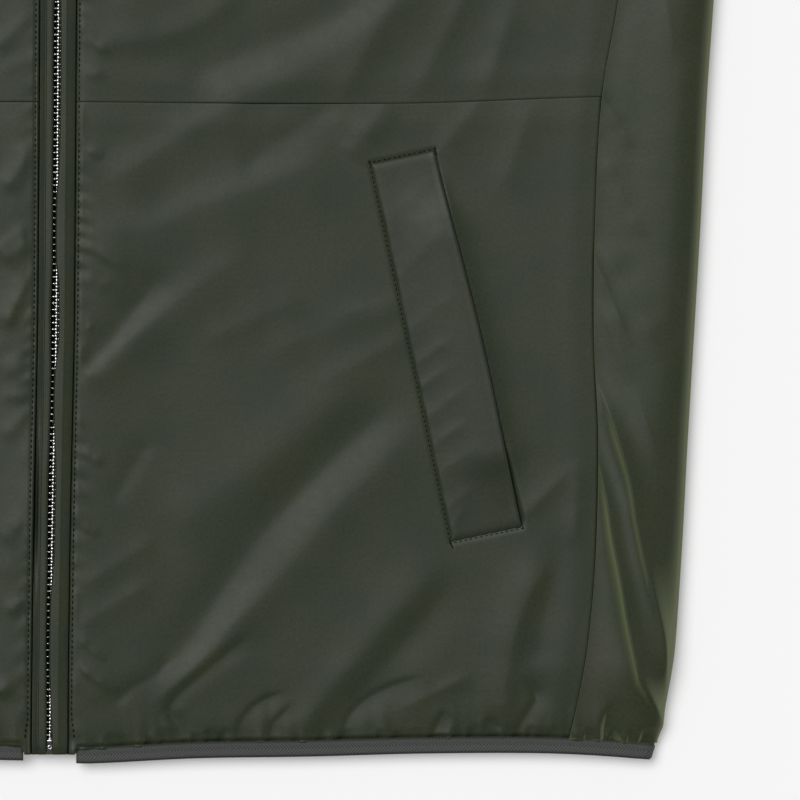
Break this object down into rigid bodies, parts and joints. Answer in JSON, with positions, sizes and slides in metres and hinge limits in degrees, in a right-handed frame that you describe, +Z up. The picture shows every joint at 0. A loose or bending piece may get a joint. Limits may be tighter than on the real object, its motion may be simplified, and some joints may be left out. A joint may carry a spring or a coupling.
{
  "type": "gilet",
  "caption": "Lightly padded zip-through gilet with a stand collar, slanted welt pockets and elastic-bound hem and armholes, laid flat with the zip closed.",
  "frame": {"origin": "on the surface the garment lies on, under the middle of its outline", "axes": "+X towards the wearer's left, +Y from hem to collar, +Z up from the surface, out of the front"},
  "size_m": [0.5796, 0.7351, 0.0126],
  "materials": {
    "shell_cloth": "dark olive nylon shell with a soft sheen",
    "elastic_braid": "matt grey-black ribbed elastic",
    "zip_tape": "matt dark woven tape",
    "zip_metal": "polished silver metal"
  },
  "bodies": {
    "gilet": {"front_lower_left": "shell_cloth", "front_lower_right": "shell_cloth", "front_upper_left": "shell_cloth", "front_upper_right": "shell_cloth", "side_panel_left": "shell_cloth", "side_panel_right": "shell_cloth", "back": "shell_cloth", "collar": "shell_cloth", "pocket_welt_left": "shell_cloth", "pocket_welt_right": "shell_cloth", "zip_lip_left": "shell_cloth", "zip_lip_right": "shell_cloth", "hem_binding": "elastic_braid", "armhole_binding_left": "elastic_braid", "armhole_binding_right": "elastic_braid", "zip_tape_left": "zip_tape", "zip_tape_right": "zip_tape", "zip_chain": "zip_metal", "zip_box": "zip_metal", "zip_stop_left": "zip_metal", "zip_stop_right": "zip_metal", "zip_slider": "zip_metal"},
    "zip_pull": {"zip_pull": "zip_metal"}
  },
  "joints": [
    {"name": "pull_tab_swing", "type": "hinge", "parent": "gilet", "child": "zip_pull", "pos_m": [0.00452, 0.2785, 0.0099], "axis": [-1, 0, 0], "range_deg": [0, 170]}
  ]
}
